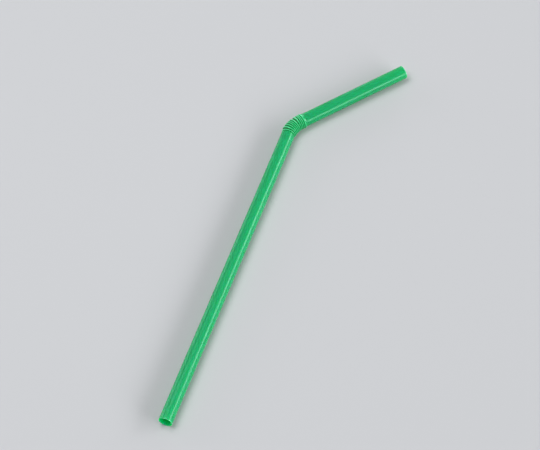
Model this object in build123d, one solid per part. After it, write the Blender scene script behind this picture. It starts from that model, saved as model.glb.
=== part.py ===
# Flexible drinking straw: one thin-walled tube with a bellows, lying bent on a flat surface.
#
# The straw is one extruded polypropylene tube, with the folds of its bellows pressed into the wall.
# Its centre line lies in one level plane. The long leg runs along +Y, and the short leg turns from
# it towards +X. Each fold is shut on the inside of the bend and drawn out on the outside of it.
#
# Both skins of the wall are drawn as two side lines in the bend's plane, one on the outside of the
# bend and one on the inside. A ring stands on each pair of points, and the wall runs straight from
# ring to ring.
import os
from math import radians

from build123d import *

os.makedirs("parts", exist_ok=True)

# Tube, in mm; each leg is measured from its cut end to the bellows
tube_diameter = 6.0
wall = 0.2
long_leg = 150.2
short_leg = 51.5

# Folds, in mm; the pitch and the depth of a groove are those of a shut fold, before rounding
crest_rise = 0.48
shut_pitch = 0.75
shut_depth = 0.46
fold_radius = 0.05

# Depth that a groove gains for each mm that its fold is drawn out
depth_gain = 0.28

# Share of each fold that slopes from a crest down to the groove; the steep face has the rest
slope_share = 0.75

# Groove between the long leg and the first crest, which is lower than the others
entry_length = 0.45
entry_depth = 0.75
entry_rise = 0.25

# Cone from the last crest down to the short leg, and the radius at its foot
exit_length = 1.1
exit_radius = 0.6

# How far each crest is turned from the crest before it, in degrees, from the long leg on
fold_bends = (0.4, 7.6, 7.2, 4.5, 2.0, 3.0, 9.8, 4.9, 0.3, 0.3)

# Worked out from the values above; an arc's radius is that of the outer skin, below 0 in a groove
tube_radius = tube_diameter / 2
crest_radius = tube_radius + crest_rise
crest_arc = fold_radius + wall
groove_arc = -fold_radius
exit_arc = -exit_radius


def stepped(frame, length, bend):
    """A frame moved ahead, then turned about the line where the folds are shut."""
    return frame * Pos(0, length, 0) * Rot(0, 0, -bend)


def ring_ends(frame, outside, inside):
    """A ring's two ends in the bend's plane, at these distances from the centre line."""
    across = frame * Pos(-crest_radius - outside, 0, 0)
    near = frame * Pos(-crest_radius + inside, 0, 0)
    return across.position, near.position


def groove_ends(frame, length, bend, depth):
    """The ends of the groove's ring, in the fold that starts at this frame."""
    stretch = 2 * crest_radius * radians(bend)
    place = stepped(frame, length * slope_share, bend * slope_share)
    drawn_depth = depth + depth_gain * stretch
    return ring_ends(place, crest_radius - drawn_depth, crest_radius - depth)


def corner_rings():
    """The ends of every ring on which the outer skin turns, from one cut end to the other."""
    frame = Pos(crest_radius, 0, 0)
    rings = [ring_ends(frame, tube_radius, tube_radius)]
    frame = stepped(frame, long_leg, 0)
    rings.append(ring_ends(frame, tube_radius, tube_radius))

    length, depth, radius = entry_length, entry_depth, tube_radius + entry_rise
    for bend in fold_bends:
        rings.append(groove_ends(frame, length, bend, depth))
        frame = stepped(frame, length, bend)
        rings.append(ring_ends(frame, radius, radius))
        length, depth, radius = shut_pitch, shut_depth, crest_radius

    frame = stepped(frame, exit_length, 0)
    rings.append(ring_ends(frame, tube_radius, tube_radius))
    frame = stepped(frame, short_leg, 0)
    rings.append(ring_ends(frame, tube_radius, tube_radius))
    return rings


def rounded_corner(corner, before, after, arc, inset):
    """Three points of the arc that rounds a corner, moved into the wall by the inset."""
    middle = (before + after).normalized()
    centre = corner + middle * (arc / middle.dot(before))
    return [centre - normal * (arc - inset) for normal in (before, middle, after)]


def side_line(corners, turn, inset):
    """One side of a skin; the turn, from the way ahead, points from the outer skin inwards."""
    ways = [(b - a).normalized() for a, b in zip(corners, corners[1:])]
    normals = [way.rotate(Axis.Z, turn) for way in ways]
    line = [corners[0] + normals[0] * inset, corners[1] + normals[0] * inset]
    arcs = [groove_arc, crest_arc] * len(fold_bends) + [exit_arc]
    for corner, before, after, arc in zip(corners[2:], normals[1:], normals[2:], arcs):
        line += rounded_corner(corner, before, after, arc, inset)
    line.append(corners[-1] + normals[-1] * inset)
    return line


def ring(across, near):
    """A circle that stands on the bend's plane, with its diameter between two points."""
    reach = near - across
    middle = (across + near) * 0.5
    plane = Plane(origin=middle, x_dir=(0, 0, 1), z_dir=reach.rotate(Axis.Z, 90))
    return plane * Circle(reach.length / 2)


def skin(inset):
    """The closed solid inside a skin that lies this far into the wall."""
    across_corners, near_corners = zip(*corner_rings())
    across = side_line(across_corners, -90, inset)
    near = side_line(near_corners, 90, inset)
    return loft([ring(a, b) for a, b in zip(across, near)], ruled=True)


def make_straw():
    """The tube with its bellows, open from end to end."""
    return skin(0) - skin(wall)


def laid_down(shape):
    """The shape moved until the middle of its underside is at the origin."""
    box = shape.bounding_box()
    middle = box.center()
    return Pos(-middle.X, -middle.Y, -box.min.Z) * shape


straw = laid_down(make_straw())
straw.label = "straw"
export_step(straw, "parts/straw.step")
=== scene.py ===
# Flexible drinking straw: its glossy, slightly translucent plastic, on a pale studio floor.
#
# One mesh stands for the whole straw: a closed wall with an outer and an inner skin, finely
# rounded at its folds and cut rims. Rings run round the tube, each on a pair of points in the
# bend's plane: one across, on the outside of the bend, and one near, on its inside.
from math import cos, pi, radians, sin, tau

import bpy
from mathutils import Matrix, Vector


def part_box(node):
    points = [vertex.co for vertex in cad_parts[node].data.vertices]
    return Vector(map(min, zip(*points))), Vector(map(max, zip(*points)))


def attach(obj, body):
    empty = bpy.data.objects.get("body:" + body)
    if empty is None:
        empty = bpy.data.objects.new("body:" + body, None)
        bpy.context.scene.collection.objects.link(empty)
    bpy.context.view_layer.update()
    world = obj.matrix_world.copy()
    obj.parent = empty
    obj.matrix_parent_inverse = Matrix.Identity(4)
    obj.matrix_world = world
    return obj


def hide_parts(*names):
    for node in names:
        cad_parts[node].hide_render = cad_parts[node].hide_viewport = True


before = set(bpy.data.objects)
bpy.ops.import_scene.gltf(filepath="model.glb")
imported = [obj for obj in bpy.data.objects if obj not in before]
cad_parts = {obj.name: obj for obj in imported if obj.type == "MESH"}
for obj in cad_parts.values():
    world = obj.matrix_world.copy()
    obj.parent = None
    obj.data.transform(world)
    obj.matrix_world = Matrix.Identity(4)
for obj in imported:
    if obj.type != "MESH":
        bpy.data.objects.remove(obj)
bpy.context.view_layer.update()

MM = 0.001

# Tube, as packed
TUBE_RADIUS = 3.0 * MM
WALL = 0.2 * MM
LONG_LEG = 150.2 * MM
SHORT_LEG = 51.5 * MM

# Folds, as packed; each fold's own bend is in degrees, from the long leg on
CREST_RISE = 0.48 * MM
SHUT_PITCH = 0.75 * MM
SHUT_DEPTH = 0.46 * MM
FOLD_RADIUS = 0.05 * MM
DEPTH_GAIN = 0.28
SLOPE_SHARE = 0.75
ENTRY_LENGTH = 0.45 * MM
ENTRY_DEPTH = 0.75 * MM
ENTRY_RISE = 0.25 * MM
EXIT_LENGTH = 1.1 * MM
EXIT_RADIUS = 0.6 * MM
FOLD_BENDS = (0.4, 7.6, 7.2, 4.5, 2.0, 3.0, 9.8, 4.9, 0.3, 0.3)
CREST_RADIUS = TUBE_RADIUS + CREST_RISE

# Radii of the outer skin's corners, below zero where a corner goes into the wall. The edge is
# where the long leg meets the first groove, rounded for the looks alone.
CREST_ARC = FOLD_RADIUS + WALL
GROOVE_ARC = -FOLD_RADIUS
EXIT_ARC = -EXIT_RADIUS
EDGE_ARC = 0.15 * MM

# Mesh. A leg's first and last rings stand a little off its ends, so that it shades as straight.
AROUND = 128
ARC_STEPS = 6
RIM_RADIUS = 0.05 * MM
RIM_STEPS = 3
LEG_PIECES = 24
LEG_HOLD = 0.6 * MM

# Plastic, as linear colours
GREEN = (0.002, 0.42, 0.135, 1)
GREEN_STREAK = (0.003, 0.44, 0.145, 1)
# Crest tints: partly the stress-whitening of the drawn plastic, partly painted highlight along
# the crests
GREEN_CREST_WHITENING_AND_HIGHLIGHT = (0.025, 0.62, 0.2, 1)
GREEN_DRAWN_WHITENING_AND_HIGHLIGHT = (0.085, 0.86, 0.35, 1)
# Painted shade in the grooves, where the folds shade one another
GREEN_GROOVE_SHADE = (0.0003, 0.17, 0.025, 1)
# Painted light on the inner skin: a brighter green standing in for light that shines through the
# wall
GREEN_BORE_PAINTED_LIGHT = (0.005, 0.82, 0.33, 1)
# Cut rims: partly stress-whitening, partly painted highlight where the rounded edge would catch
# the light
GREEN_CUT_WHITENING_AND_HIGHLIGHT = (0.07, 0.72, 0.32, 1)

# Tints over the legs' green, in turn: the mesh's mark, the range where it comes in, the colour.
# The crest, drawn and cut tints are partly stress-whitening and partly painted highlight, the
# groove tint is painted shade and the bore tint is painted light
TINTS = (
    ("crest", 0.6, 1, GREEN_CREST_WHITENING_AND_HIGHLIGHT),
    ("drawn", 0.1, 0.7, GREEN_DRAWN_WHITENING_AND_HIGHLIGHT),
    ("groove", 0, 0.4, GREEN_GROOVE_SHADE),
    ("bore", 0, 1, GREEN_BORE_PAINTED_LIGHT),
    ("cut", 0.2, 1, GREEN_CUT_WHITENING_AND_HIGHLIGHT),
)

# How pale each crest is where it is drawn out, from the long leg on: partly stress-whitening,
# partly painted highlight on the outside of the bend
CREST_PALING_AND_HIGHLIGHT = (0.65, 1.0, 0.55, 0.5, 0.5, 0.9, 1.0, 0.7, 0.65, 0.75)

# Streaks along the tube: the stretch, scale and detail of their noise, and its useful range
COLOUR_STREAKS = (40, 900, 3)
GLOSS_STREAKS = (8, 500, 4)
SURFACE_STREAKS = (60, 2500, 2)
STREAK_RANGE = (0.3, 0.7)

# Plastic's surface, and the light that passes inside its wall
ROUGHNESS_RANGE = (0.21, 0.26)
PLASTIC_IOR = 1.49
GLOSS_TINT = (0.6, 0.97, 0.88, 1)
BUMP_STRENGTH = 0.25
BUMP_HEIGHT = 0.004 * MM
GLOW_RADIUS = (0.2, 1.0, 0.5)
GLOW_SCALE = 0.7 * MM

# Floor
FLOOR_HALF = 1.9
FLOOR_COLOUR = (0.58, 0.59, 0.61, 1)
FLOOR_ROUGHNESS = 0.7

# Soft boxes: place, width, height, strength (1 looks as white as paper) and tilt in degrees
LAMPS = {
    "overhead": ((-0.45, -0.05, 1.15), 1.0, 0.8, 3.8, 0),
    "right_strip": ((2.0, 0.2, 0.84), 3.25, 0.62, 7.2, 9),
    "back_box": ((0.425, 2.2, 0.35), 3.5, 0.65, 3, 0),
    "left_box": ((-2.2, 0.4, 0.425), 1.75, 0.7, 2, 0),
}

# World: the light that it gives, and the strength at which it is seen
WORLD_COLOUR = (0.97, 0.98, 1, 1)
WORLD_LIGHT = 0.2
WORLD_SEEN = 0.6

# Camera, from the photograph: focal length in pixels of its 540-pixel width
IMAGE_WIDTH = 540
FOCAL_PIXELS = 2535
SENSOR = 36
AZIMUTH = radians(19.7)
ELEVATION = radians(58)
TARGET = Vector((-0.01051, 0.00515, 0))
DISTANCE = 1.089
CLIP_START = 0.01
CLIP_END = 20


def stepped(place, length, bend):
    """A place moved ahead, then turned about the line where the folds are shut."""
    return place @ Matrix.Translation((0, length, 0)) @ Matrix.Rotation(-radians(bend), 4, "Z")


def ring_ends(place, outside, inside):
    """A ring's two ends in the bend's plane, at these distances from the centre line."""
    across = place @ Vector((-CREST_RADIUS - outside, 0, 0))
    near = place @ Vector((-CREST_RADIUS + inside, 0, 0))
    return across, near


def groove_ends(place, length, bend, depth):
    """The ends of the groove's ring, in the fold that starts at this place."""
    stretch = 2 * CREST_RADIUS * radians(bend)
    bottom = stepped(place, length * SLOPE_SHARE, bend * SLOPE_SHARE)
    drawn_depth = depth + DEPTH_GAIN * stretch
    return ring_ends(bottom, CREST_RADIUS - drawn_depth, CREST_RADIUS - depth)


def corner_rings():
    """The ends of every ring on which the outer skin turns, from one cut end to the other."""
    place = Matrix.Translation((CREST_RADIUS, 0, 0))
    rings = [ring_ends(place, TUBE_RADIUS, TUBE_RADIUS)]
    place = stepped(place, LONG_LEG, 0)
    rings.append(ring_ends(place, TUBE_RADIUS, TUBE_RADIUS))

    length, depth, radius = ENTRY_LENGTH, ENTRY_DEPTH, TUBE_RADIUS + ENTRY_RISE
    for bend in FOLD_BENDS:
        rings.append(groove_ends(place, length, bend, depth))
        place = stepped(place, length, bend)
        rings.append(ring_ends(place, radius, radius))
        length, depth, radius = SHUT_PITCH, SHUT_DEPTH, CREST_RADIUS

    place = stepped(place, EXIT_LENGTH, 0)
    rings.append(ring_ends(place, TUBE_RADIUS, TUBE_RADIUS))
    place = stepped(place, SHORT_LEG, 0)
    rings.append(ring_ends(place, TUBE_RADIUS, TUBE_RADIUS))
    return rings


def rounded_corner(corner, before, after, arc, inset):
    """Points along the arc that rounds a corner, moved into the wall by the inset."""
    middle = (before + after).normalized()
    centre = corner + middle * (arc / middle.dot(before))
    normals = [before.slerp(after, step / ARC_STEPS) for step in range(ARC_STEPS + 1)]
    return [centre - normal * (arc - inset) for normal in normals]


def leg_line(cut, fold):
    """Points along a leg, from near its cut end to near the folds."""
    hold = (fold - cut).normalized() * LEG_HOLD
    shares = [step / LEG_PIECES for step in range(LEG_PIECES + 1)]
    return [(cut + hold).lerp(fold - hold, share) for share in shares]


def side_line(corners, turn, inset):
    """One side of a skin, from rim to rim; the turn points from the outer skin inwards."""
    ways = [(b - a).normalized() for a, b in zip(corners, corners[1:])]
    aside = Matrix.Rotation(radians(turn), 3, "Z")
    normals = [aside @ way for way in ways]
    arcs = [EDGE_ARC] + [GROOVE_ARC, CREST_ARC] * len(FOLD_BENDS) + [EXIT_ARC]
    folds = []
    for corner, before, after, arc in zip(corners[1:], normals, normals[1:], arcs):
        folds += rounded_corner(corner, before, after, arc, inset)
    near = corners[0] + ways[0] * RIM_RADIUS + normals[0] * inset
    far = corners[-1] - ways[-1] * RIM_RADIUS + normals[-1] * inset
    return leg_line(near, folds[0]) + folds + leg_line(far, folds[-1])[::-1]


def rim(outer, inner, ahead):
    """Points round the wall's cut edge, from the outer skin to the inner one."""
    inward = (inner - outer).normalized()
    first = outer + (inward - ahead) * RIM_RADIUS
    second = inner - (inward + ahead) * RIM_RADIUS
    points = []
    for centre, start in ((first, -90), (second, 0)):
        for step in range(RIM_STEPS + 1):
            turn = radians(start + 90 * step / RIM_STEPS)
            points.append(centre + (inward * sin(turn) + ahead * cos(turn)) * RIM_RADIUS)
    return points


def wall_loop(corners, turn):
    """The wall's whole section on one side: outer skin, far rim, inner skin, near rim."""
    outer = side_line(corners, turn, 0)
    inner = side_line(corners, turn, WALL)
    start_way = (corners[1] - corners[0]).normalized()
    end_way = (corners[-1] - corners[-2]).normalized()
    inward = Matrix.Rotation(radians(turn), 3, "Z")
    far = rim(corners[-1], corners[-1] + inward @ end_way * WALL, end_way)
    near = rim(corners[0], corners[0] + inward @ start_way * WALL, -start_way)
    return outer + far + inner[::-1] + near[::-1]


def loop_marks():
    """Marks for each ring of the wall's section, from 0 to 1, in the same order as its points."""
    # An arc and half a rim, each clear of a mark or full of it, and a leg with its last arc
    clear_arc = [0] * (ARC_STEPS + 1)
    full_arc = [1] * (ARC_STEPS + 1)
    leg = [0] * (LEG_PIECES + 1) + clear_arc
    clear_half = [0] * (RIM_STEPS + 1)
    full_half = [1] * (RIM_STEPS + 1)

    folds = {
        "crest": (clear_arc + full_arc) * len(FOLD_BENDS),
        "groove": (full_arc + clear_arc) * len(FOLD_BENDS),
        # The drawn mark carries each crest's paleness and painted highlight, strongest on the
        # outside of the bend
        "drawn": [mark * share for share in CREST_PALING_AND_HIGHLIGHT for mark in clear_arc + full_arc],
    }
    marks = {}
    for name, fold in folds.items():
        skin = leg + fold + leg
        marks[name] = skin + clear_half * 2 + skin[::-1] + clear_half * 2

    clear_skin = [0] * len(leg + folds["crest"] + leg)
    full_skin = [1] * len(clear_skin)
    marks["cut"] = clear_skin + full_half * 2 + clear_skin + full_half * 2
    marks["bore"] = clear_skin + clear_half + full_half + full_skin + full_half + clear_half
    return marks


def ring_points(loops, angles):
    """Points round every ring, and where each would be on the tube before it was bent."""
    points = []
    straight = []
    along = 0
    last = sum(loops[0], Vector()) / 2
    for across, near in loops:
        middle = (across + near) / 2
        reach = (across - near) / 2
        along += (middle - last).length
        last = middle
        for angle in angles:
            aside, above = reach.length * cos(angle), reach.length * sin(angle)
            points.append(middle + reach * cos(angle) + Vector((0, 0, above)))
            straight += [aside, above, along]
    return points, straight


def ring_faces(rings):
    """Faces from each ring to the next and from the last to the first, with their map corners."""
    faces = []
    uvs = []
    for row in range(rings):
        ahead = (row + 1) % rings
        for step in range(AROUND):
            beside = (step + 1) % AROUND
            corners = ((row, step), (ahead, step), (ahead, beside), (row, beside))
            faces.append([ring * AROUND + place for ring, place in corners])
            u, v = step / AROUND, row / rings
            next_u, next_v = u + 1 / AROUND, v + 1 / rings
            uvs += [u, v, u, next_v, next_u, next_v, next_u, v]
    return faces, uvs


def straw_mesh():
    """The tube's wall as one closed mesh, with the marks that its material reads."""
    angles = [tau * step / AROUND - pi / 2 for step in range(AROUND)]
    across_corners, near_corners = zip(*corner_rings())
    loops = list(zip(wall_loop(across_corners, -90), wall_loop(near_corners, 90)))
    points, straight = ring_points(loops, angles)
    faces, uvs = ring_faces(len(loops))

    mesh = bpy.data.meshes.new("straw_skin")
    mesh.from_pydata(points, [], faces)
    mesh.uv_layers.new(name="around_along").data.foreach_set("uv", uvs)
    place = mesh.attributes.new("straight_place", "FLOAT_VECTOR", "POINT")
    place.data.foreach_set("vector", straight)
    outwards = [(1 + cos(angle)) / 2 for angle in angles]
    for name, marks in loop_marks().items():
        shares = outwards if name == "drawn" else [1] * AROUND
        values = [mark * share for mark in marks for share in shares]
        mesh.attributes.new(name, "FLOAT", "POINT").data.foreach_set("value", values)
    mesh.shade_smooth()
    return mesh


def lay_down(mesh):
    """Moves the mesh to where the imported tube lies."""
    low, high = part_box("straw")
    middle = (Vector(low) + Vector(high)) / 2
    places = [vertex.co for vertex in mesh.vertices]
    own_low = Vector([min(place[axis] for place in places) for axis in range(3)])
    own_high = Vector([max(place[axis] for place in places) for axis in range(3)])
    shift = middle - (own_low + own_high) / 2
    shift.z = low[2] - own_low.z
    mesh.transform(Matrix.Translation(shift))


def add_object(name, data):
    """A new object in the scene, with this data."""
    piece = bpy.data.objects.new(name, data)
    bpy.context.scene.collection.objects.link(piece)
    return piece


def fresh_material(name):
    """A new material, and its shader."""
    material = bpy.data.materials.new(name)
    material.use_nodes = True
    return material, material.node_tree.nodes["Principled BSDF"]


def add_node(tree, kind, **settings):
    """A node of this kind, with these settings."""
    node = tree.nodes.new(kind)
    for name, value in settings.items():
        setattr(node, name, value)
    return node


def set_input(tree, node, name, value):
    """Gives a node's input a constant, or links another node's output to it."""
    if isinstance(value, bpy.types.NodeSocket):
        tree.links.new(value, node.inputs[name])
    else:
        node.inputs[name].default_value = value


def combined(tree, operation, first, second):
    """What a maths node makes of two values."""
    node = add_node(tree, "ShaderNodeMath", operation=operation)
    tree.links.new(first, node.inputs[0])
    tree.links.new(second, node.inputs[1])
    return node.outputs["Value"]


def ranged(tree, value, low, high, to_low=0, to_high=1):
    """A value's range from low to high, smoothly carried over to another range."""
    node = add_node(tree, "ShaderNodeMapRange", interpolation_type="SMOOTHSTEP")
    set_input(tree, node, "Value", value)
    set_input(tree, node, "From Min", low)
    set_input(tree, node, "From Max", high)
    set_input(tree, node, "To Min", to_low)
    set_input(tree, node, "To Max", to_high)
    return node.outputs["Result"]


def tinted(tree, share, colour, other):
    """A colour mixed with another one by a share."""
    node = add_node(tree, "ShaderNodeMix", data_type="RGBA")
    set_input(tree, node, "Factor", share)
    set_input(tree, node, "A", colour)
    set_input(tree, node, "B", other)
    return [output for output in node.outputs if output.type == "RGBA"][0]


def marked(tree, name):
    """The mesh's mark of this name."""
    return add_node(tree, "ShaderNodeAttribute", attribute_name=name).outputs["Fac"]


def streaks(tree, stretch, scale, detail):
    """Noise on the straight tube, drawn out along it by the stretch."""
    place = add_node(tree, "ShaderNodeAttribute", attribute_name="straight_place")
    mapping = add_node(tree, "ShaderNodeMapping")
    set_input(tree, mapping, "Vector", place.outputs["Vector"])
    set_input(tree, mapping, "Scale", (1, 1, 1 / stretch))
    noise = add_node(tree, "ShaderNodeTexNoise")
    set_input(tree, noise, "Vector", mapping.outputs["Vector"])
    set_input(tree, noise, "Scale", scale)
    set_input(tree, noise, "Detail", detail)
    return noise.outputs["Fac"]


def plastic():
    """Green polypropylene: glossy, slightly see-through, paler on its crests and cut rims, partly
    by stress-whitening and partly by painted highlight, with painted shade in its grooves and
    painted light in its bore.
    """
    material, shader = fresh_material("green_plastic")
    tree = material.node_tree

    streak = ranged(tree, streaks(tree, *COLOUR_STREAKS), *STREAK_RANGE)
    colour = tinted(tree, streak, GREEN, GREEN_STREAK)
    # Painted shade, painted highlight and painted light from the tints, laid over the green with
    # the stress-whitening
    for name, low, high, tint in TINTS:
        colour = tinted(tree, ranged(tree, marked(tree, name), low, high), colour, tint)
    set_input(tree, shader, "Base Color", colour)

    gloss = ranged(tree, streaks(tree, *GLOSS_STREAKS), *STREAK_RANGE, *ROUGHNESS_RANGE)
    set_input(tree, shader, "Roughness", gloss)
    set_input(tree, shader, "IOR", PLASTIC_IOR)
    set_input(tree, shader, "Specular Tint", GLOSS_TINT)

    folded = combined(tree, "ADD", marked(tree, "crest"), marked(tree, "groove"))
    set_input(tree, shader, "Subsurface Weight", ranged(tree, folded, 0, 1, 1, 0))
    set_input(tree, shader, "Subsurface Radius", GLOW_RADIUS)
    set_input(tree, shader, "Subsurface Scale", GLOW_SCALE)

    bump = add_node(tree, "ShaderNodeBump")
    set_input(tree, bump, "Height", streaks(tree, *SURFACE_STREAKS))
    set_input(tree, bump, "Strength", BUMP_STRENGTH)
    set_input(tree, bump, "Distance", BUMP_HEIGHT)
    set_input(tree, shader, "Normal", bump.outputs["Normal"])
    return material


def make_straw():
    """The dressed straw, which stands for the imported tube."""
    mesh = straw_mesh()
    lay_down(mesh)
    mesh.materials.append(plastic())
    piece = add_object("straw_wall", mesh)
    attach(piece, "root")
    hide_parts("straw")


def make_floor():
    """A plain pale floor, level with the straw's underside."""
    near, far = -FLOOR_HALF, FLOOR_HALF
    corners = [(near, near, 0), (far, near, 0), (far, far, 0), (near, far, 0)]
    mesh = bpy.data.meshes.new("floor")
    mesh.from_pydata(corners, [], [(0, 1, 2, 3)])
    material, shader = fresh_material("floor_paint")
    shader.inputs["Base Color"].default_value = FLOOR_COLOUR
    shader.inputs["Roughness"].default_value = FLOOR_ROUGHNESS
    mesh.materials.append(material)
    add_object("floor", mesh)


def make_lamp(name, place, width, height, strength, tilt):
    """A soft box that faces the straw's middle."""
    lamp = bpy.data.lights.new(name, "AREA")
    lamp.shape = "RECTANGLE"
    lamp.size = width
    lamp.size_y = height
    lamp.energy = strength * pi * width * height
    piece = add_object(name, lamp)
    facing = Vector(place).to_track_quat("Z", "Y").to_matrix().to_4x4()
    tilted = Matrix.Rotation(radians(tilt), 4, "Z")
    piece.matrix_world = Matrix.Translation(place) @ facing @ tilted
    piece.visible_camera = False


def make_world():
    """A dim even light from all round, which is seen and mirrored as a pale backdrop."""
    world = bpy.data.worlds.new("studio")
    world.use_nodes = True
    tree = world.node_tree
    path = add_node(tree, "ShaderNodeLightPath").outputs
    seen = combined(tree, "MAXIMUM", path["Is Camera Ray"], path["Is Glossy Ray"])
    seen = combined(tree, "MAXIMUM", seen, path["Is Transmission Ray"])
    background = tree.nodes["Background"]
    set_input(tree, background, "Color", WORLD_COLOUR)
    set_input(tree, background, "Strength", ranged(tree, seen, 0, 1, WORLD_LIGHT, WORLD_SEEN))
    bpy.context.scene.world = world


def make_camera():
    """A camera where the photograph's stood."""
    camera = bpy.data.cameras.new("camera")
    camera.sensor_width = SENSOR
    camera.lens = FOCAL_PIXELS * SENSOR / IMAGE_WIDTH
    camera.clip_start = CLIP_START
    camera.clip_end = CLIP_END
    piece = add_object("camera", camera)
    level = cos(ELEVATION)
    back = Vector((sin(AZIMUTH) * level, -cos(AZIMUTH) * level, sin(ELEVATION)))
    piece.location = TARGET + back * DISTANCE
    piece.rotation_euler = (pi / 2 - ELEVATION, 0, AZIMUTH)
    bpy.context.scene.camera = piece


make_straw()
make_floor()
for name, settings in LAMPS.items():
    make_lamp(name, *settings)
make_world()
make_camera()
bpy.context.scene.view_settings.view_transform = "Standard"
bpy.context.view_layer.update()
